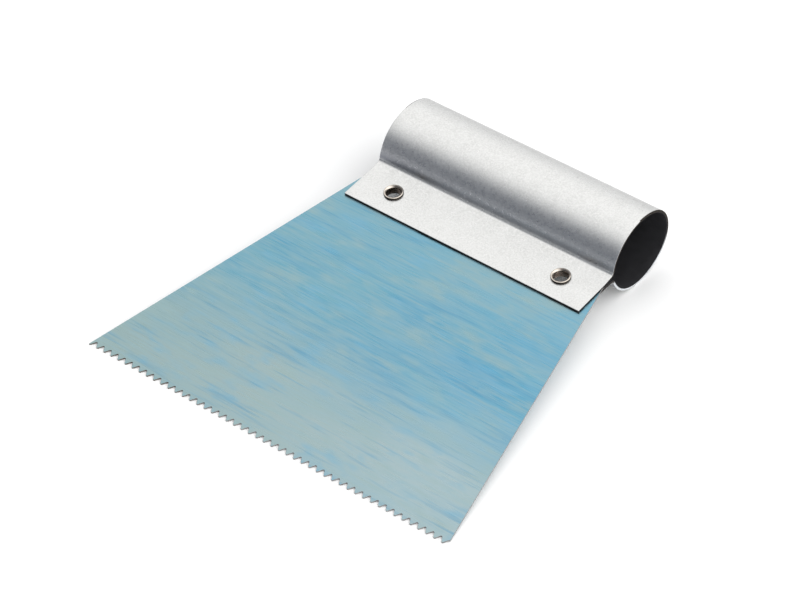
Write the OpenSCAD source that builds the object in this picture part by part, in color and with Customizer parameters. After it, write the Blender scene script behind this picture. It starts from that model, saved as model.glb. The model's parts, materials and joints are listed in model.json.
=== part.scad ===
// Notched spreader: a thin toothed blade riveted between the flanges of a folded sheet-metal handle.
// X runs along the handle, +Y points from the teeth to the grip, +Z is up.
// The tool lies at rest on z = 0, on its tooth tips and on the belly of the tube.

/* [Blade] */
// Width of the blade at its toothed edge
blade_w = 151.7; // [140:0.1:180]
// Width of the blade at its rear edge, hidden in the handle
blade_tail_w = 99.2; // [90:0.2:99.6]
// Distance from the tooth tips to the front edge of the flanges
blade_reach = 103.7; // [80:0.1:140]
// Depth to which the blade reaches in between the flanges
blade_tail = 16; // [13:0.5:17]
// Thickness of the blade
blade_t = 0.5; // [0.4:0.1:0.8]

/* [Notches] */
// Distance from one notch to the next
notch_pitch = 3.175; // [3:0.005:3.5]
// Half of the angle between the two flanks of a notch
notch_half_angle = 30; // [28:1:40]
// Radius of the rounded roots and tooth tips
notch_round_r = 0.4; // [0.3:0.05:0.5]
// Distance from the blade's left corner to the first root
first_notch = 1.9; // [1.6:0.05:2.4]

/* [Handle] */
// Length of the handle, along the tube
handle_w = 100.4; // [100:0.2:120]
// Thickness of the sheet
sheet_t = 0.9; // [0.7:0.05:1]
// Depth of the flat part of each flange
flange_flat = 13.2; // [13.2:0.1:14]
// Depth of the part of each flange that curves gently away from the blade
flange_rise = 5.3; // [4:0.1:6]
// Angle that the gentle curve reaches at the crease
rise_angle = 9; // [6:0.5:11]
// Radius in the tight crease between flange and tube
crease_r = 1.4; // [1.2:0.1:2]
// Outside radius of the tube at its back
back_r = 13; // [12:0.1:14]
// Outside radius of the tube at its top and bottom
crown_r = 18.3; // [17.5:0.1:19]
// Outside radius of the tube where it runs in to the crease
brow_r = 15.7; // [15:0.1:17]
// Direction, counted up from straight back, at which the back arc ends
back_angle = 55; // [50:1:60]
// Direction, counted up from straight back, at which the crown arc ends
crown_angle = 110; // [105:1:115]

/* [Eyelets] */
// Distance between the two eyelets
eyelet_spacing = 71.8; // [60:0.2:76]
// Distance from the front edge of the flanges to the eyelets' centres
eyelet_inset = 9.5; // [8:0.1:9.6]
// Radius of the hole through each eyelet
eyelet_hole_r = 2.5; // [2.3:0.1:2.6]
// Wall of the eyelet's barrel
eyelet_wall = 0.35; // [0.3:0.05:0.4]
// Outside radius of the rim, where it sits on the flange
eyelet_rim_r = 3.55; // [3.4:0.05:3.6]
// Height of the rim above the flange
eyelet_rim_h = 0.8; // [0.7:0.05:1.1]
// Radius of the flare from the barrel to the rim
eyelet_flare_r = 1.2; // [1:0.05:1.2]
// Radius of the rounded edge on top of the rim
eyelet_lip_r = 0.3; // [0.2:0.05:0.35]

/* [Hidden] */
$fn = 96;
sheet_step = 5;
tooth_step = 20;
rim_step = 15;
flare_angle = 120;
rim_slope = 5;
past = 1;

// Half thickness of the riveted stack, and the places that follow from it
stack_h = sheet_t + blade_t / 2;
rise_r = flange_rise / sin(rise_angle);
rise_c = [flange_flat, stack_h + rise_r];
crease_c = rise_c + (rise_r - crease_r) * [sin(rise_angle), -cos(rise_angle)];

// Arc centres of the tube's outside, counted from the centre of the back arc
crown_from_back = (back_r - crown_r) * [cos(back_angle), sin(back_angle)];
brow_from_back = crown_from_back + (crown_r - brow_r) * [cos(crown_angle), sin(crown_angle)];
brow_angle = 180 - asin((crease_c[1] - brow_from_back[1]) / (brow_r + crease_r));
brow_c = crease_c - (brow_r + crease_r) * [cos(brow_angle), sin(brow_angle)];
back_c = [brow_c[0] - brow_from_back[0], 0];
crown_c = back_c + crown_from_back;

// Tilt at which the tooth tips and the belly of the tube both touch the ground
belly_c = [crown_c[0], -crown_c[1]];
tip_to_belly = belly_c + [blade_reach, blade_t / 2];
rest_tilt = asin(crown_r / norm(tip_to_belly)) - atan2(tip_to_belly[1], tip_to_belly[0]);
ground_z = -blade_reach * sin(rest_tilt) - blade_t / 2 * cos(rest_tilt);
front_y = -blade_reach * cos(rest_tilt) - blade_t / 2 * sin(rest_tilt);
back_y = back_c[0] * cos(rest_tilt) + back_r;

// Unit vector in the direction a
function dir(a) = [cos(a), sin(a)];

// Points along an arc, both ends included
function arc(c, r, from, to, step) =
    let (n = ceil(abs(to - from) / step))
    [for (i = [0 : n]) c + r * dir(from + (to - from) * i / n)];

// The same points in the opposite order, and mirrored to the other side of the blade
function backward(points) = [for (i = [len(points) - 1 : -1 : 0]) points[i]];
function flipped(points) = [for (p = points) [p[0], -p[1]]];

// As many notches as the edge has room for; the last one runs out through the right side
notch_count = floor((blade_w - first_notch) / notch_pitch) + 1;
notch_depth = notch_pitch / 2 / tan(notch_half_angle) - 2 * notch_round_r * (1 / sin(notch_half_angle) - 1);

// Left flank of the notch with its root at x, from the tooth tip to the middle of the root
function flank(x) = concat(
    arc([x - notch_pitch / 2, notch_round_r], notch_round_r, -90, -notch_half_angle, tooth_step),
    arc([x, notch_depth - notch_round_r], notch_round_r, 180 - notch_half_angle, 90, tooth_step)
);

// The whole notch, from the tip of the tooth on its left to the tip on its right
function notch(x) =
    let (left = flank(x))
    concat(left, [for (i = [len(left) - 2 : -1 : 0]) [2 * x - left[i][0], left[i][1]]]);

// Upper half of the folded sheet's section at a depth under its outside, from the flange to the back
function upper_sheet(depth) = concat(
    [[0, stack_h - depth]],
    arc(rise_c, rise_r + depth, -90, rise_angle - 90, sheet_step),
    arc(crease_c, crease_r + depth, rise_angle - 90, brow_angle - 180, sheet_step),
    arc(brow_c, brow_r - depth, brow_angle, crown_angle, sheet_step),
    arc(crown_c, crown_r - depth, crown_angle, back_angle, sheet_step),
    arc(back_c, back_r - depth, back_angle, 0, sheet_step)
);

// Everything in front of the toothed edge, with the tooth tips on the line y = 0
module notch_row() {
    first_x = -blade_w / 2 + first_notch;
    last_x = first_x + (notch_count - 1) * notch_pitch;
    side = blade_w / 2 + 2 * past;
    polygon(concat(
        [[-side, -past], [-side, 0]],
        [for (i = [0 : notch_count - 2]) each notch(first_x + i * notch_pitch)],
        flank(last_x),
        [[side, notch_depth], [side, -past]]
    ));
}

// Places its children at both eyelets
module at_eyelets() {
    for (side = [-1, 1]) translate([side * eyelet_spacing / 2, eyelet_inset, 0]) children();
}

// Holes that the eyelets' barrels fill
module eyelet_holes() {
    at_eyelets() cylinder(r = eyelet_hole_r + eyelet_wall, h = 2 * (stack_h + past), center = true);
}

// Inner wall and top of one eyelet's rim, as a section to the right of its axis
flare_c = [
    eyelet_hole_r + eyelet_flare_r,
    stack_h + eyelet_rim_h - eyelet_lip_r + (eyelet_lip_r - eyelet_flare_r) * sin(flare_angle)
];
lip_c = flare_c + (eyelet_flare_r - eyelet_lip_r) * dir(flare_angle);
eyelet_half = concat(
    arc(flare_c, eyelet_flare_r, 180, flare_angle, rim_step),
    arc(lip_c, eyelet_lip_r, flare_angle, rim_slope, rim_step),
    [[eyelet_rim_r, stack_h], [eyelet_hole_r + eyelet_wall, stack_h]]
);

module eyelet() {
    color("wheat") rotate_extrude() polygon(concat(eyelet_half, backward(flipped(eyelet_half))));
}

// Lays the tool down on its tooth tips and belly, centred on the origin
module at_rest() {
    translate([0, -(front_y + back_y) / 2, -ground_z]) rotate([rest_tilt, 0, 0]) children();
}

module blade() {
    color("lightblue") difference() {
        linear_extrude(blade_t, center = true) polygon([
            [-blade_w / 2, -blade_reach],
            [blade_w / 2, -blade_reach],
            [blade_tail_w / 2, blade_tail],
            [-blade_tail_w / 2, blade_tail]
        ]);
        translate([0, -blade_reach, 0]) linear_extrude(blade_t + past, center = true) notch_row();
        eyelet_holes();
    }
}

module handle() {
    color("gainsboro") difference() {
        rotate([90, 0, 90]) linear_extrude(handle_w, center = true) polygon(concat(
            upper_sheet(0),
            backward(flipped(upper_sheet(0))),
            flipped(upper_sheet(sheet_t)),
            backward(upper_sheet(sheet_t))
        ));
        eyelet_holes();
    }
}

module eyelet_left() {
    translate([-eyelet_spacing / 2, eyelet_inset, 0]) eyelet();
}

module eyelet_right() {
    translate([eyelet_spacing / 2, eyelet_inset, 0]) eyelet();
}

at_rest() blade();
at_rest() handle();
at_rest() eyelet_left();
at_rest() eyelet_right();
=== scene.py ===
import json
import math

import bmesh
import bpy
from mathutils import Matrix, Vector


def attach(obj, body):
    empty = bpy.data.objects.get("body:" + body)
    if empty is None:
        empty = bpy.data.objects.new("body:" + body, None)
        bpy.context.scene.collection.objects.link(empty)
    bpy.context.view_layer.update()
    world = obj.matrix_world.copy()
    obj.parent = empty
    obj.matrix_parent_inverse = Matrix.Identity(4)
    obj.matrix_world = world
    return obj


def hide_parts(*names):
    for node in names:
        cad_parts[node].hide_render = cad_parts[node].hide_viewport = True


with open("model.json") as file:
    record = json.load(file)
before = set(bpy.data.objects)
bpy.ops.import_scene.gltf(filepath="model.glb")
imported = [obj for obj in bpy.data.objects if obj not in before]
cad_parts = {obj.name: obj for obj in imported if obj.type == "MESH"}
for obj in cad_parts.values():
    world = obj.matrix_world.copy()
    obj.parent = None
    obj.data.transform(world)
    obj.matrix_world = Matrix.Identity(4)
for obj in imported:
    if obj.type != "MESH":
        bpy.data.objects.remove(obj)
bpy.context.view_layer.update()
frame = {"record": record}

MM = 0.001

# ---------------------------------------------------------------- sizes, in millimetres as on the drawing

BLADE_W = 151.7
BLADE_TAIL_W = 99.2
BLADE_REACH = 103.7
BLADE_TAIL = 16.0
BLADE_T = 0.5
BLADE_EDGE = 0.05

NOTCH_PITCH = 3.175
NOTCH_HALF_ANGLE = 30.0
NOTCH_ROUND_R = 0.4
FIRST_NOTCH = 1.9
NOTCH_STEP = 13.0

HANDLE_W = 100.4
SHEET_T = 0.9
SHEET_EDGE = 0.12
SHEET_EDGE_RUN = 0.25
FLANGE_CORNER_R = 0.16
FLANGE_FLAT = 13.2
FLANGE_RISE = 5.3
RISE_ANGLE = 9.0
CREASE_R = 1.4
BACK_R = 13.0
CROWN_R = 18.3
BROW_R = 15.7
BACK_ANGLE = 55.0
CROWN_ANGLE = 110.0
CORNER_STEP = 30
FLANGE_LINES = (1.5, 3.0, 4.5)
OUTER_STATIONS = (43.0, 46.5)
MIDDLE_CELLS = 10

EYELET_SPACING = 71.8
EYELET_INSET = 9.5
EYELET_HOLE_R = 2.5
EYELET_WALL = 0.35
EYELET_RIM_R = 3.55
EYELET_RIM_H = 0.8
EYELET_FLARE_R = 1.2
EYELET_LIP_R = 0.3
FLARE_ANGLE = 120.0
RIM_SLOPE = 5.0
PATCH_HALF = 3.6
PATCH_CELLS = 8
EYELET_TURNS = 72
FLARE_STEP = 6
LIP_STEP = 18
HOLE_STEP = 10

STACK_H = SHEET_T + BLADE_T / 2
CROWN_Y = 35.0


# ---------------------------------------------------------------- from the blade's own plane to the frame

def blade_plane():
    """Matrix from the blade's plane (x along the handle, y back from the flange edge, z up) to the frame."""
    mounts = {m["name"]: m for m in frame["record"]["mounts"]}
    left, right = mounts["eyelet_hole_left"], mounts["eyelet_hole_right"]
    middle = (Vector(left["pos_m"]) + Vector(right["pos_m"])) / 2
    up = Vector(left["axis"]).normalized()
    across = Vector((1, 0, 0))
    back = up.cross(across)
    origin = middle - back * EYELET_INSET * MM
    turn = Matrix((across, back, up)).transposed().to_4x4()
    return Matrix.Translation(origin) @ turn


PLANE = blade_plane()


def in_frame(x, y, z):
    """A point of the blade's plane, in millimetres, as a point of the frame in metres."""
    return PLANE @ Vector((x * MM, y * MM, z * MM))


# ---------------------------------------------------------------- outlines

def direction(angle):
    return math.cos(math.radians(angle)), math.sin(math.radians(angle))


def arc(centre, radius, start, end, step):
    """Points along an arc, both ends included."""
    count = max(1, math.ceil(abs(end - start) / step))
    points = []
    for i in range(count + 1):
        c, s = direction(start + (end - start) * i / count)
        points.append((centre[0] + radius * c, centre[1] + radius * s))
    return points


def without_repeats(points, tolerance=1e-6):
    kept = []
    for p in points:
        if not kept or math.dist(p, kept[-1]) > tolerance:
            kept.append(p)
    return kept


class Sheet:
    """The folded sheet's section: y back from the flange's front edge, z up from the middle of the blade."""

    STEP = 2.5

    def __init__(self):
        self.rise_r = FLANGE_RISE / math.sin(math.radians(RISE_ANGLE))
        self.rise_c = (FLANGE_FLAT, STACK_H + self.rise_r)
        c, s = direction(RISE_ANGLE)
        reach = self.rise_r - CREASE_R
        self.crease_c = (self.rise_c[0] + reach * s, self.rise_c[1] - reach * c)
        c, s = direction(BACK_ANGLE)
        crown = ((BACK_R - CROWN_R) * c, (BACK_R - CROWN_R) * s)
        c, s = direction(CROWN_ANGLE)
        brow = (crown[0] + (CROWN_R - BROW_R) * c, crown[1] + (CROWN_R - BROW_R) * s)
        sine = (self.crease_c[1] - brow[1]) / (BROW_R + CREASE_R)
        self.brow_angle = 180 - math.degrees(math.asin(sine))
        c, s = direction(self.brow_angle)
        self.brow_c = (self.crease_c[0] - (BROW_R + CREASE_R) * c, self.crease_c[1] - (BROW_R + CREASE_R) * s)
        self.back_c = (self.brow_c[0] - brow[0], 0.0)
        self.crown_c = (self.back_c[0] + crown[0], crown[1])

    def flange_stations(self):
        """Where the flat flange is cut across, so that a square patch surrounds each eyelet's hole."""
        near, far = EYELET_INSET - PATCH_HALF, EYELET_INSET + PATCH_HALF
        cells = [near + (far - near) * i / PATCH_CELLS for i in range(PATCH_CELLS + 1)]
        return [FLANGE_CORNER_R, *FLANGE_LINES] + cells

    def half(self, depth):
        """The upper half of the line at a depth under the outside, from the flange to the back."""
        line = [(y, STACK_H - depth) for y in self.flange_stations()]
        line += arc(self.rise_c, self.rise_r + depth, -90, RISE_ANGLE - 90, self.STEP)
        crease_end = self.brow_angle - 180
        line += arc(self.crease_c, CREASE_R + depth, RISE_ANGLE - 90, crease_end, 2 * self.STEP)[1:]
        line += arc(self.brow_c, BROW_R - depth, self.brow_angle, CROWN_ANGLE, self.STEP)[1:]
        line += arc(self.crown_c, CROWN_R - depth, CROWN_ANGLE, BACK_ANGLE, self.STEP)[1:]
        line += arc(self.back_c, BACK_R - depth, BACK_ANGLE, 0, self.STEP)[1:]
        return line

    def whole(self, depth):
        """The line from the upper flange round the tube to the lower flange."""
        upper = self.half(depth)
        return upper + [(y, -z) for y, z in reversed(upper[:-1])]


SHEET = Sheet()


def notch_depth():
    a = math.radians(NOTCH_HALF_ANGLE)
    return NOTCH_PITCH / 2 / math.tan(a) - 2 * NOTCH_ROUND_R * (1 / math.sin(a) - 1)


def flank(x):
    """Left flank of the notch with its root at x, from the tooth tip at y = 0 to the middle of the root."""
    r, a = NOTCH_ROUND_R, NOTCH_HALF_ANGLE
    outline = arc((x - NOTCH_PITCH / 2, r), r, -90, -a, NOTCH_STEP)
    return outline + arc((x, notch_depth() - r), r, 180 - a, 90, NOTCH_STEP)


def notch(x):
    left = flank(x)
    return left + [(2 * x - p[0], p[1]) for p in reversed(left[:-1])]


def blade_outline():
    """Outline of the blade, counter-clockwise; the last notch runs out through the right side."""
    half, tail = BLADE_W / 2, BLADE_TAIL_W / 2
    taper = (half - tail) / (BLADE_REACH + BLADE_TAIL)
    last = math.floor((BLADE_W - FIRST_NOTCH) / NOTCH_PITCH)
    points = [(-half, 0.0)]
    for i in range(last):
        points += notch(-half + FIRST_NOTCH + i * NOTCH_PITCH)
    points += flank(-half + FIRST_NOTCH + last * NOTCH_PITCH)
    points.append((half - taper * notch_depth(), notch_depth()))
    points = [(x, y - BLADE_REACH) for x, y in points]
    points += [(tail, BLADE_TAIL), (-tail, BLADE_TAIL)]
    return without_repeats(points)


def inset(points, depth):
    """A closed counter-clockwise outline moved inwards by a depth."""
    moved = []
    for i, p in enumerate(points):
        before, after = points[i - 1], points[(i + 1) % len(points)]
        a = Vector((p[0] - before[0], p[1] - before[1])).normalized()
        b = Vector((after[0] - p[0], after[1] - p[1])).normalized()
        normals = Vector((-a.y, a.x)), Vector((-b.y, b.x))
        mitre = (normals[0] + normals[1]) / max(0.35, 1 + normals[0].dot(normals[1]))
        moved.append((p[0] + mitre.x * depth, p[1] + mitre.y * depth))
    return moved


# ---------------------------------------------------------------- pieces

def new_piece(name, bm, materials, node, sharp_angle):
    """Turns a bmesh into a smooth-shaded piece that stands for a CAD node."""
    bmesh.ops.recalc_face_normals(bm, faces=bm.faces)
    mesh = bpy.data.meshes.new(name)
    bm.to_mesh(mesh)
    bm.free()
    for material in materials:
        mesh.materials.append(material)
    piece = bpy.data.objects.new(name, mesh)
    bpy.context.scene.collection.objects.link(piece)
    mesh.shade_smooth()
    mesh.set_sharp_from_angle(angle=math.radians(sharp_angle))
    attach(piece, "root")
    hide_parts(node)
    return piece


def hole_circle(bm, centre_x, z, perimeter):
    """Vertices on the hole's edge, one for each vertex of the square patch around it."""
    circle = []
    centre = in_frame(centre_x, EYELET_INSET, z)
    turn = PLANE.to_3x3()
    for v in perimeter:
        arm = turn.inverted() @ (v.co - centre)
        arm.z = 0
        arm = arm.normalized() * (EYELET_HOLE_R + EYELET_WALL) * MM
        circle.append(bm.verts.new(centre + turn @ arm))
    return circle


def band(bm, first, second, material, closed=True):
    """Quads between two rows of vertices."""
    count = len(first) if closed else len(first) - 1
    for i in range(count):
        j = (i + 1) % len(first)
        face = bm.faces.new((first[i], first[j], second[j], second[i]))
        face.material_index = material


def build_handle(materials):
    """The folded sheet as a lofted skin of quads with rounded cut edges and real holes."""
    outside, inside, cut = 0, 1, 2
    half_w = HANDLE_W / 2
    ends = [(SHEET_EDGE_RUN * (1 - math.sin(math.radians(a))), SHEET_EDGE * (1 - math.cos(math.radians(a))))
            for a in (90, 60, 30, 0)]
    patch = [PATCH_HALF * (2 * i / PATCH_CELLS - 1) for i in range(PATCH_CELLS + 1)]
    middle = EYELET_SPACING / 2
    gap = middle - PATCH_HALF
    stations = [(-half_w + x, d) for x, d in ends]
    stations += [(-x, 0) for x in reversed(OUTER_STATIONS)]
    stations += [(-middle + x, 0) for x in patch]
    stations += [(-gap + 2 * gap * i / MIDDLE_CELLS, 0) for i in range(1, MIDDLE_CELLS)]
    stations += [(middle + x, 0) for x in patch]
    stations += [(x, 0) for x in OUTER_STATIONS]
    stations += [(half_w - x, d) for x, d in reversed(ends)]

    flange = SHEET.flange_stations()
    first_cell = flange.index(EYELET_INSET - PATCH_HALF)

    def ring(x, depth):
        """One section: the outside line, the lower flange's edge, the inside line back, the upper edge."""
        outer = SHEET.whole(depth)
        inner = SHEET.whole(SHEET_T - depth)
        radius = FLANGE_CORNER_R - depth
        corner_y = FLANGE_CORNER_R
        top, low = STACK_H - depth, STACK_H - SHEET_T + depth
        rounded = arc((corner_y, top - radius), radius, 90, 180, CORNER_STEP)[1:]
        rounded += arc((corner_y, low + radius), radius, 180, 270, CORNER_STEP)[:-1]
        points = outer + [(y, -z) for y, z in rounded] + inner[::-1] + rounded[::-1]
        return [in_frame(x, y, z) for y, z in points], len(outer), len(rounded)

    bm = bmesh.new()
    rings = []
    for x, depth in stations:
        points, line, front = ring(x, depth)
        rings.append([bm.verts.new(p) for p in points])
    size = len(rings[0])
    first_inner = line + front

    crown = [y > CROWN_Y for y, z in SHEET.whole(0)]
    rolled = len(arc((0, 0), 1, 90, 180, CORNER_STEP)) - 1

    def material_of(i, j):
        """Galvanised outside with its rolled front corners, dark inside, bare metal where it is cut."""
        at_end = i < len(ends) - 1 or i >= len(stations) - len(ends)
        if j < line - 1:
            return cut if at_end and crown[j] else outside
        if j < line - 1 + rolled or j >= size - rolled:
            return outside
        if j < first_inner or j >= first_inner + line - 1:
            return cut
        return inside

    def patch_rows(start, step):
        """Ring indexes of the patch on one of the four flange faces, counted from the front."""
        return [start + step * (first_cell + i) for i in range(PATCH_CELLS + 1)]

    faces_of_flange = {
        "upper_out": patch_rows(0, 1),
        "lower_out": patch_rows(line - 1, -1),
        "lower_in": patch_rows(first_inner, 1),
        "upper_in": patch_rows(first_inner + line - 1, -1),
    }
    skipped = set()
    for rows in faces_of_flange.values():
        for a, b in zip(rows, rows[1:]):
            skipped.add(min(a, b))
    columns = []
    for side in (-1, 1):
        first = next(i for i, s in enumerate(stations) if abs(s[0] - (side * middle - PATCH_HALF)) < 1e-6)
        columns.append((side, first))
    skipped_columns = {first + i for side, first in columns for i in range(PATCH_CELLS)}

    for i in range(len(rings) - 1):
        for j in range(size):
            if i in skipped_columns and j in skipped:
                continue
            k = (j + 1) % size
            face = bm.faces.new((rings[i][j], rings[i + 1][j], rings[i + 1][k], rings[i][k]))
            face.material_index = material_of(i, j)

    for end in (rings[0], rings[-1]):
        for j in range(line - 1):
            a, b = end[j], end[j + 1]
            c, d = end[size - front - 2 - j], end[size - front - 1 - j]
            bm.faces.new((a, b, c, d)).material_index = cut
        bm.faces.new([end[0]] + end[size - front - 1:]).material_index = cut
        bm.faces.new(end[line - 1:first_inner + 1]).material_index = cut

    heights = {"upper_out": STACK_H, "upper_in": STACK_H - SHEET_T,
               "lower_out": -STACK_H, "lower_in": SHEET_T - STACK_H}
    for side, first in columns:
        circles = {}
        for face_name, rows in faces_of_flange.items():
            last = first + PATCH_CELLS
            square = [rings[first + i][rows[0]] for i in range(PATCH_CELLS)]
            square += [rings[last][rows[i]] for i in range(PATCH_CELLS)]
            square += [rings[last - i][rows[-1]] for i in range(PATCH_CELLS)]
            square += [rings[first][rows[PATCH_CELLS - i]] for i in range(PATCH_CELLS)]
            circle = hole_circle(bm, side * middle, heights[face_name], square)
            material = outside if face_name.endswith("out") else inside
            band(bm, square, circle, material)
            circles[face_name] = circle
        band(bm, circles["upper_out"], circles["upper_in"], cut)
        band(bm, circles["lower_out"], circles["lower_in"], cut)

    return new_piece("folded_sheet_handle", bm, materials, "handle", 35)


def build_blade(materials):
    """The toothed plate, with a fine bevel along every punched edge and holes for the eyelets."""
    face_material, edge_material = 0, 1
    outline = blade_outline()
    inner = inset(outline, BLADE_EDGE)
    half_t = BLADE_T / 2
    bm = bmesh.new()

    def loop(points, z):
        return [bm.verts.new(in_frame(x, y, z)) for x, y in points]

    def circle(side, z):
        centre = (side * EYELET_SPACING / 2, EYELET_INSET)
        return loop(arc(centre, EYELET_HOLE_R + EYELET_WALL, 0, 360 - HOLE_STEP, HOLE_STEP), z)

    rows = [loop(inner, half_t), loop(outline, half_t - BLADE_EDGE),
            loop(outline, BLADE_EDGE - half_t), loop(inner, -half_t)]
    for first, second in zip(rows, rows[1:]):
        band(bm, first, second, edge_material)
    holes = {side: (circle(side, half_t), circle(side, -half_t)) for side in (-1, 1)}
    for upper, lower in holes.values():
        band(bm, upper, lower, edge_material)
    for row, level in ((rows[0], 0), (rows[3], 1)):
        rims = [row] + [pair[level] for pair in holes.values()]
        edges = []
        for rim in rims:
            for i, v in enumerate(rim):
                edges.append(bm.edges.get((v, rim[(i + 1) % len(rim)])))
        bmesh.ops.triangle_fill(bm, use_beauty=True, use_dissolve=False, edges=edges)
    return new_piece("toothed_blade", bm, materials, "blade", 25)


def build_eyelet(name, side, material):
    """A hollow rivet: one turned profile, with its rims flared out over both flanges."""
    barrel_r = EYELET_HOLE_R + EYELET_WALL
    lip_h = STACK_H + EYELET_RIM_H - EYELET_LIP_R
    c, s = direction(FLARE_ANGLE)
    reach = EYELET_FLARE_R - EYELET_LIP_R
    flare_c = (EYELET_HOLE_R + EYELET_FLARE_R, lip_h - reach * s)
    lip_c = (flare_c[0] + reach * c, lip_h)
    upper = [(EYELET_HOLE_R, 0.0), (EYELET_HOLE_R, 0.5)]
    upper += arc(flare_c, EYELET_FLARE_R, 180, FLARE_ANGLE, FLARE_STEP)
    upper += arc(lip_c, EYELET_LIP_R, FLARE_ANGLE, RIM_SLOPE, LIP_STEP)[1:]
    upper += [(EYELET_RIM_R, STACK_H), (barrel_r, STACK_H), (barrel_r, 0.0)]
    profile = upper + [(r, -z) for r, z in reversed(upper[1:-1])]
    bm = bmesh.new()
    columns = []
    for i in range(EYELET_TURNS):
        c, s = direction(360 * i / EYELET_TURNS)
        centre = side * EYELET_SPACING / 2
        columns.append([bm.verts.new(in_frame(centre + r * c, EYELET_INSET + r * s, z)) for r, z in profile])
    for i in range(EYELET_TURNS):
        band(bm, columns[i], columns[(i + 1) % EYELET_TURNS], 0)
    return new_piece(name, bm, [material], "eyelet_left" if side < 0 else "eyelet_right", 40)


# ---------------------------------------------------------------- materials

BLUE_MIDDLE = (0.130, 0.330, 0.432, 1)
BLUE_DEEP = (0.096, 0.295, 0.436, 1)
BLUE_HANDLE = (0.155, 0.345, 0.445, 1)
BLUE_TEETH = (0.318, 0.410, 0.432, 1)
GREEN_TEETH = (0.330, 0.372, 0.340, 1)
GREEN_LEFT = (0.172, 0.315, 0.352, 1)
STRAW = (0.270, 0.370, 0.365, 1)
BLUE_STREAK = (0.075, 0.250, 0.390, 1)
SKY = (0.140, 0.345, 0.490, 1)
PALE_HAIR = (0.30, 0.45, 0.50, 1)

ZINC_DARK = (0.60, 0.60, 0.591, 1)
ZINC_LIGHT = (0.69, 0.69, 0.67965, 1)
ZINC_CLOUD = (0.71, 0.71, 0.7029, 1)
# painted shade for the fold beside the crease, and a darker one for its left end
FOLD_PAINTED_SHADE = (0.60, 0.61, 0.65, 1)
FOLD_LEFT_PAINTED_SHADE = (0.55, 0.56, 0.59, 1)

SHEAR_BROWN_BLACK = (0.014, 0.012, 0.010, 1), (0.036, 0.029, 0.025, 1)
PUNCHED_CLEAN = (0.17, 0.165, 0.165, 1), (0.31, 0.30, 0.30, 1)
PUNCHED_BROWN = (0.07, 0.055, 0.045, 1), (0.17, 0.14, 0.12, 1)

PLATE = (0.56, 0.50, 0.44, 1), (0.72, 0.66, 0.59, 1)
# painted dark reflection for the back of the eyelets' rims
RIM_PAINTED_REFLECTION = (0.14, 0.125, 0.115, 1)
BARREL_BROWN = (0.22, 0.17, 0.14, 1)
# painted shade for the outer wall round the eyelets' rim foot
RIM_FOOT_SHADE = (0.035, 0.03, 0.025, 1)


class Nodes:
    """A material's node tree, with short ways to add and join nodes."""

    def __init__(self, name):
        self.material = bpy.data.materials.new(name)
        self.material.use_nodes = True
        self.tree = self.material.node_tree
        self.shader = self.tree.nodes["Principled BSDF"]

    def add(self, kind, **settings):
        node = self.tree.nodes.new(kind)
        for key, value in settings.items():
            setattr(node, key, value)
        return node

    def join(self, source, target):
        self.tree.links.new(source, target)

    def plane_position(self):
        """Millimetres in the blade's own plane, so that grain and streaks follow the metal."""
        position = self.add("ShaderNodeNewGeometry").outputs["Position"]
        inverse = PLANE.inverted()
        moved = self.add("ShaderNodeVectorMath", operation="ADD")
        self.join(position, moved.inputs[0])
        moved.inputs[1].default_value = -PLANE.translation
        turned = self.add("ShaderNodeVectorRotate", rotation_type="X_AXIS")
        self.join(moved.outputs[0], turned.inputs["Vector"])
        turned.inputs["Angle"].default_value = inverse.to_euler().x
        scaled = self.add("ShaderNodeVectorMath", operation="SCALE")
        self.join(turned.outputs[0], scaled.inputs[0])
        scaled.inputs["Scale"].default_value = 1 / MM
        return scaled.outputs[0]

    def stretched(self, vector, scale):
        node = self.add("ShaderNodeVectorMath", operation="MULTIPLY")
        self.join(vector, node.inputs[0])
        node.inputs[1].default_value = scale
        return node.outputs[0]

    def noise(self, vector, scale, detail=2.0, roughness=0.5):
        node = self.add("ShaderNodeTexNoise")
        self.join(vector, node.inputs["Vector"])
        node.inputs["Scale"].default_value = scale
        node.inputs["Detail"].default_value = detail
        node.inputs["Roughness"].default_value = roughness
        return node.outputs["Fac"]

    def remap(self, value, low, high, to_low, to_high, smooth=False):
        node = self.add("ShaderNodeMapRange", interpolation_type="SMOOTHSTEP" if smooth else "LINEAR")
        self.join(value, node.inputs["Value"])
        for key, number in (("From Min", low), ("From Max", high), ("To Min", to_low), ("To Max", to_high)):
            node.inputs[key].default_value = number
        return node.outputs["Result"]

    def math(self, operation, a, b):
        node = self.add("ShaderNodeMath", operation=operation)
        for value, socket in ((a, node.inputs[0]), (b, node.inputs[1])):
            if isinstance(value, (int, float)):
                socket.default_value = value
            else:
                self.join(value, socket)
        return node.outputs[0]

    def mix(self, factor, a, b, blend="MIX"):
        node = self.add("ShaderNodeMix", data_type="RGBA", blend_type=blend)
        for value, key in ((factor, "Factor"), (a, "A"), (b, "B")):
            socket = next(s for s in node.inputs if s.name == key and s.enabled)
            if isinstance(value, (int, float, tuple)):
                socket.default_value = value
            else:
                self.join(value, socket)
        return next(s for s in node.outputs if s.enabled)

    def bump(self, height, strength, distance):
        node = self.add("ShaderNodeBump")
        self.join(height, node.inputs["Height"])
        node.inputs["Strength"].default_value = strength
        node.inputs["Distance"].default_value = distance
        self.join(node.outputs["Normal"], self.shader.inputs["Normal"])

    def axes(self, vector):
        node = self.add("ShaderNodeSeparateXYZ")
        self.join(vector, node.inputs[0])
        return node.outputs

    def set(self, **values):
        for key, value in values.items():
            self.shader.inputs[key.replace("_", " ")].default_value = value


def grey(level, tint=(1.0, 1.0, 1.0)):
    return (level * tint[0], level * tint[1], level * tint[2], 1.0)


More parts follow.
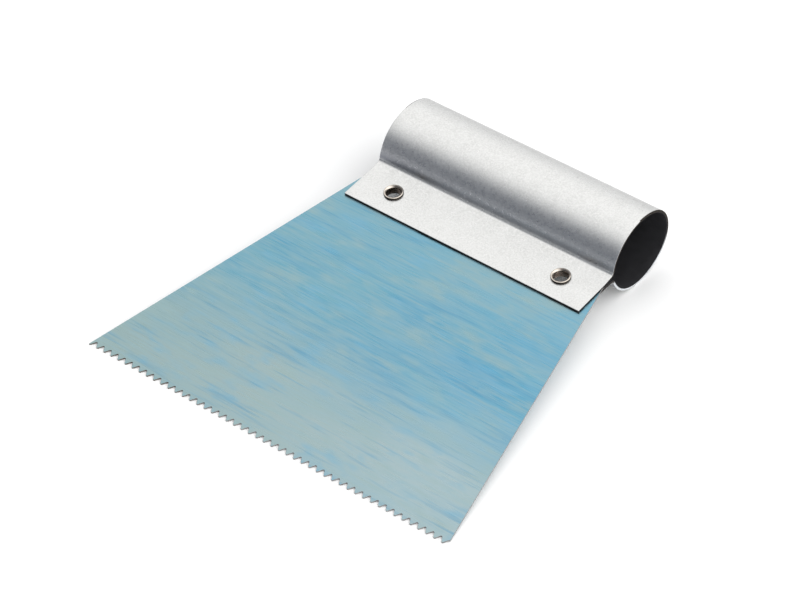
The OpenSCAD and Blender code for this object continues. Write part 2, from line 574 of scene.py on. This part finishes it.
def galvanised():
    """Satin zinc-coated sheet with a mottled grain, with painted shade darkening the fold (most at the left)
    and the back of the tube.
    """
    m = Nodes("galvanised_satin")
    place = m.plane_position()
    x, y, z = (m.axes(place)[k] for k in "XYZ")
    fine = m.noise(place, 1.0, 1.0, 0.5)
    cloud = m.noise(place, 0.22, 2.0)
    grain = m.noise(place, 1.7, 0.0)
    colour = m.mix(m.remap(grain, 0.3, 0.7, 0, 1), ZINC_DARK, ZINC_LIGHT)
    colour = m.mix(m.remap(cloud, 0.35, 0.65, 0, 0.35), colour, ZINC_CLOUD)
    height = m.math("ABSOLUTE", z, 0)
    # painted shade: darkens the fold beside the crease, most towards the left end
    fold = m.math("MULTIPLY", m.remap(height, 2.0, 3.2, 0, 1, smooth=True),
                  m.remap(height, 3.4, 12.2, 1, 0, smooth=True))
    fold = m.math("MULTIPLY", fold, m.remap(y, 24.0, 30.0, 1, 0, smooth=True))
    left_end = m.math("MULTIPLY", m.remap(x, -4.0, -46.0, 0, 1, smooth=True), m.remap(height, 6.5, 3.5, 0, 1))
    left_end = m.math("MULTIPLY", left_end, m.remap(height, 1.8, 2.4, 0, 1, smooth=True))
    zinc = m.mix(fold, colour, FOLD_PAINTED_SHADE, "MULTIPLY")
    zinc = m.mix(left_end, zinc, FOLD_LEFT_PAINTED_SHADE, "MULTIPLY")
    # painted shade: darkens the back of the tube towards a dark grey
    behind = m.remap(y, 42.0, 47.0, 0, 0.34, smooth=True)
    m.join(m.mix(behind, zinc, grey(0.1)), m.shader.inputs["Base Color"])
    m.join(m.remap(fine, 0.25, 0.75, 0.25, 0.39), m.shader.inputs["Roughness"])
    m.set(Metallic=1.0)
    m.bump(m.math("ADD", fine, m.math("MULTIPLY", grain, 0.5)), 0.12, 0.00012)
    return m.material


def tube_inside():
    """The inside of the folded sheet, painted near-black as painted shade for the unlit tube."""
    m = Nodes("sheet_inside_dark")
    place = m.plane_position()
    # painted shade: near-black greys, mottled by this noise, stand in for the shade inside the tube
    film = m.noise(place, 0.5, 3.0, 0.6)
    m.join(m.mix(film, grey(0.014, (1, 1, 1.1)), grey(0.030, (1, 1, 1.15))), m.shader.inputs["Base Color"])
    m.join(m.remap(film, 0.3, 0.7, 0.5, 0.7), m.shader.inputs["Roughness"])
    m.set(Metallic=0.2)
    m.bump(film, 0.1, 0.00005)
    return m.material


def cut_edge():
    """Sheared bare steel: brown-black, with painted light making it pale and bright under the tube."""
    m = Nodes("sheet_cut_edge")
    place = m.plane_position()
    y, z = (m.axes(place)[k] for k in "YZ")
    shear = m.noise(m.stretched(place, (1.0, 1.0, 8.0)), 1.2, 3.0)
    dark = m.mix(shear, *SHEAR_BROWN_BLACK)
    # painted light: this pale colour, laid on the lower part of the tube's cut end, stands in for the light
    # there
    bright = m.mix(shear, grey(0.62, (0.96, 0.99, 1.03)), grey(0.82, (0.97, 1.0, 1.03)))
    front = m.math("MULTIPLY", m.remap(z, -3.4, -1.6, 1, 0, smooth=True), m.remap(y, 30.0, 36.0, 1, 0))
    pale_part = m.math("MAXIMUM", front, m.remap(z, -10.5, -3.4, 1, 0))
    m.join(m.mix(pale_part, dark, bright), m.shader.inputs["Base Color"])
    m.join(m.remap(shear, 0.3, 0.7, 0.45, 0.7), m.shader.inputs["Roughness"])
    m.join(m.remap(pale_part, 0, 1, 0, 0.9), m.shader.inputs["Metallic"])
    m.set(Specular_IOR_Level=0.05)
    m.bump(shear, 0.2, 0.00005)
    return m.material


def blued_steel():
    """Brushed spring steel with a sky-blue temper film that fades to grey-green at the ends."""
    m = Nodes("blued_brushed_steel")
    place = m.plane_position()
    x, y = (m.axes(place)[k] for k in "XY")
    hair = m.noise(m.stretched(place, (0.10, 1.7, 1.0)), 1.0, 1.0, 0.6)
    streak = m.noise(m.stretched(place, (0.035, 0.5, 1.0)), 1.0, 2.0, 0.6)
    broad = m.noise(m.stretched(place, (0.018, 0.09, 1.0)), 1.0, 2.0)
    patch = m.noise(m.stretched(place, (0.03, 0.06, 1.0)), 1.0, 2.0)
    cast = m.noise(m.stretched(place, (0.045, 0.11, 1.0)), 1.7, 2.0)

    to_teeth = m.remap(y, -38.0, -90.0, 0, 1, smooth=True)
    to_teeth = m.math("ADD", to_teeth, m.remap(broad, 0.3, 0.7, -0.2, 0.2))
    to_handle = m.remap(y, -34.0, -6.0, 0, 1, smooth=True)
    to_left = m.remap(x, 50.0, -70.0, 0, 1)
    blue = m.mix(m.remap(patch, 0.35, 0.65, 0, 1), BLUE_MIDDLE, BLUE_DEEP)
    colour = m.mix(to_handle, blue, BLUE_HANDLE)
    colour = m.mix(to_teeth, colour, m.mix(to_left, BLUE_TEETH, GREEN_TEETH))
    colour = m.mix(m.math("MULTIPLY", to_left, 0.5), colour, GREEN_LEFT)
    colour = m.mix(m.remap(cast, 0.52, 0.72, 0, 0.55), colour, STRAW)
    colour = m.mix(m.remap(cast, 0.46, 0.28, 0, 0.5), colour, SKY)
    colour = m.mix(m.remap(streak, 0.54, 0.76, 0, 0.5), colour, STRAW)
    colour = m.mix(m.remap(streak, 0.45, 0.26, 0, 0.55), colour, BLUE_STREAK)
    colour = m.mix(m.remap(hair, 0.35, 0.7, 0, 0.4), colour, PALE_HAIR)
    m.join(colour, m.shader.inputs["Base Color"])
    m.join(m.remap(hair, 0.3, 0.7, 0.26, 0.44), m.shader.inputs["Roughness"])
    m.set(Metallic=1.0)
    m.bump(m.math("ADD", hair, streak), 0.08, 0.00005)
    return m.material


def blade_cut():
    """The blade's punched edge: bare grey steel, browner towards the left."""
    m = Nodes("blade_punched_edge")
    place = m.plane_position()
    x = m.axes(place)["X"]
    tear = m.noise(m.stretched(place, (1.5, 1.5, 6.0)), 1.0, 2.0)
    pale_part = m.mix(tear, *PUNCHED_CLEAN)
    brown = m.mix(tear, *PUNCHED_BROWN)
    m.join(m.mix(m.remap(x, -10.0, -44.0, 0, 1), pale_part, brown), m.shader.inputs["Base Color"])
    m.join(m.remap(tear, 0.3, 0.7, 0.35, 0.55), m.shader.inputs["Roughness"])
    m.set(Metallic=0.15, Specular_IOR_Level=0.3)
    m.bump(tear, 0.15, 0.00004)
    return m.material


def nickel():
    """Warm nickel plate, dull brown down the barrel, with a painted dark reflection on the rim's back and
    painted shade round its foot.
    """
    m = Nodes("nickel_plate")
    place = m.plane_position()
    x, y, z = (m.axes(place)[k] for k in "XYZ")
    wear = m.noise(place, 1.6, 3.0, 0.6)
    plate = m.mix(wear, *PLATE)
    depth = m.math("ABSOLUTE", z, 0)
    sunk = m.remap(depth, STACK_H + 0.2, STACK_H - 0.3, 0, 1, smooth=True)
    across = m.math("SUBTRACT", x, m.math("MULTIPLY", m.math("SIGN", x, 0), EYELET_SPACING / 2))
    along = m.math("SUBTRACT", y, EYELET_INSET)
    radius = m.math("SQRT", m.math("ADD", m.math("POWER", across, 2), m.math("POWER", along, 2)), 0)
    # painted shade: darkens the rim's outer wall round its foot, where it meets the flange
    foot = m.remap(radius, EYELET_RIM_R - 0.10, EYELET_RIM_R - 0.03, 0, 1, smooth=True)
    # painted reflection: a dark colour on the back of the rim stands in for the dark things it reflects
    film = m.math("MULTIPLY", m.remap(along, 0.8, 2.2, 0, 1, smooth=True),
                  m.remap(across, -3.8, -0.9, 0, 1, smooth=True))
    colour = m.mix(m.math("MULTIPLY", film, 0.85), plate, RIM_PAINTED_REFLECTION)
    colour = m.mix(sunk, colour, BARREL_BROWN)
    m.join(m.mix(foot, colour, RIM_FOOT_SHADE), m.shader.inputs["Base Color"])
    m.join(m.remap(wear, 0.3, 0.7, 0.16, 0.3), m.shader.inputs["Roughness"])
    m.set(Metallic=1.0)
    m.bump(wear, 0.06, 0.00004)
    return m.material


def pale_floor():
    m = Nodes("pale_floor")
    place = m.plane_position()
    tone = m.noise(place, 0.02, 2.0)
    m.join(m.mix(tone, grey(0.93), grey(0.95)), m.shader.inputs["Base Color"])
    m.set(Roughness=0.9, Specular_IOR_Level=0.1)
    return m.material


# ---------------------------------------------------------------- the object

handle = build_handle([galvanised(), tube_inside(), cut_edge()])
blade = build_blade([blued_steel(), blade_cut()])
plate = nickel()
eyelet_left = build_eyelet("nickel_eyelet_left", -1, plate)
eyelet_right = build_eyelet("nickel_eyelet_right", 1, plate)


# ---------------------------------------------------------------- floor, light and camera

def make_floor(half_size=4.0):
    bm = bmesh.new()
    bmesh.ops.create_grid(bm, x_segments=1, y_segments=1, size=half_size)
    mesh = bpy.data.meshes.new("floor")
    bm.to_mesh(mesh)
    bm.free()
    mesh.materials.append(pale_floor())
    floor = bpy.data.objects.new("floor", mesh)
    bpy.context.scene.collection.objects.link(floor)


def make_studio(bright=1.35, dark=0.28, back=0.98, window_gain=1.5, lean_back=0.45):
    """A soft dome: bright above, behind and on the right, falling off to a dim blue-grey low down in front."""
    world = bpy.data.worlds.new("studio")
    bpy.context.scene.world = world
    world.use_nodes = True
    tree = world.node_tree
    background = tree.nodes["Background"]
    window_edge, window_full = 0.15, 0.7
    split = tree.nodes.new("ShaderNodeSeparateXYZ")
    tree.links.new(tree.nodes.new("ShaderNodeTexCoord").outputs["Generated"], split.inputs[0])

    def ramp(source, low, high, to_low, to_high):
        node = tree.nodes.new("ShaderNodeMapRange")
        node.interpolation_type = "SMOOTHSTEP"
        tree.links.new(source, node.inputs["Value"])
        limits = (("From Min", low), ("From Max", high), ("To Min", to_low), ("To Max", to_high))
        for key, number in limits:
            node.inputs[key].default_value = number
        return node.outputs["Result"]

    lean = tree.nodes.new("ShaderNodeMath")
    lean.operation = "MULTIPLY_ADD"
    tree.links.new(split.outputs["Y"], lean.inputs[0])
    lean.inputs[1].default_value = lean_back
    tree.links.new(split.outputs["Z"], lean.inputs[2])
    dome = ramp(lean.outputs[0], 0.03, 0.98, 0.0, 1.0)
    wall = ramp(split.outputs["Y"], 0.2, 0.8, 0.0, (back - dark) / (bright - dark))
    window = ramp(split.outputs["X"], window_edge, window_full, 0.0, 1.0)
    gain = ramp(split.outputs["X"], window_edge, window_full, 1.0, window_gain)
    tree.links.new(gain, background.inputs["Strength"])

    def brighter(first, second):
        node = tree.nodes.new("ShaderNodeMath")
        node.operation = "MAXIMUM"
        tree.links.new(first, node.inputs[0])
        tree.links.new(second, node.inputs[1])
        return node.outputs[0]

    level = brighter(brighter(dome, wall), window)
    colour = tree.nodes.new("ShaderNodeMix")
    colour.data_type = "RGBA"
    factor, a, b = (next(s for s in colour.inputs if s.name == n and s.enabled) for n in ("Factor", "A", "B"))
    tree.links.new(level, factor)
    a.default_value = grey(dark, (0.94, 1.0, 1.12))
    b.default_value = grey(bright, (1.0, 1.0, 0.995))
    tree.links.new(next(s for s in colour.outputs if s.enabled), background.inputs["Color"])


def make_camera():
    """The photographer's place: above, to the right and in front, with a long lens."""
    azimuth, elevation, roll = (math.radians(a) for a in (39.333, 41.361, -0.91))
    distance = 1.0445
    target = Vector((-0.00158, -0.00413, 0.00763))
    camera_data = bpy.data.cameras.new("camera")
    camera_data.lens = 140.7
    camera_data.sensor_width = 36.0
    camera_data.clip_end = 50.0
    camera = bpy.data.objects.new("camera", camera_data)
    bpy.context.scene.collection.objects.link(camera)
    back = Vector((
        math.sin(azimuth) * math.cos(elevation),
        -math.cos(azimuth) * math.cos(elevation),
        math.sin(elevation),
    ))
    look = (-back).to_track_quat("-Z", "Y").to_matrix().to_4x4()
    camera.matrix_world = Matrix.Translation(target + back * distance) @ look @ Matrix.Rotation(roll, 4, "Z")
    bpy.context.scene.camera = camera


make_floor()
make_studio()
make_camera()
bpy.context.scene.view_settings.view_transform = "Standard"
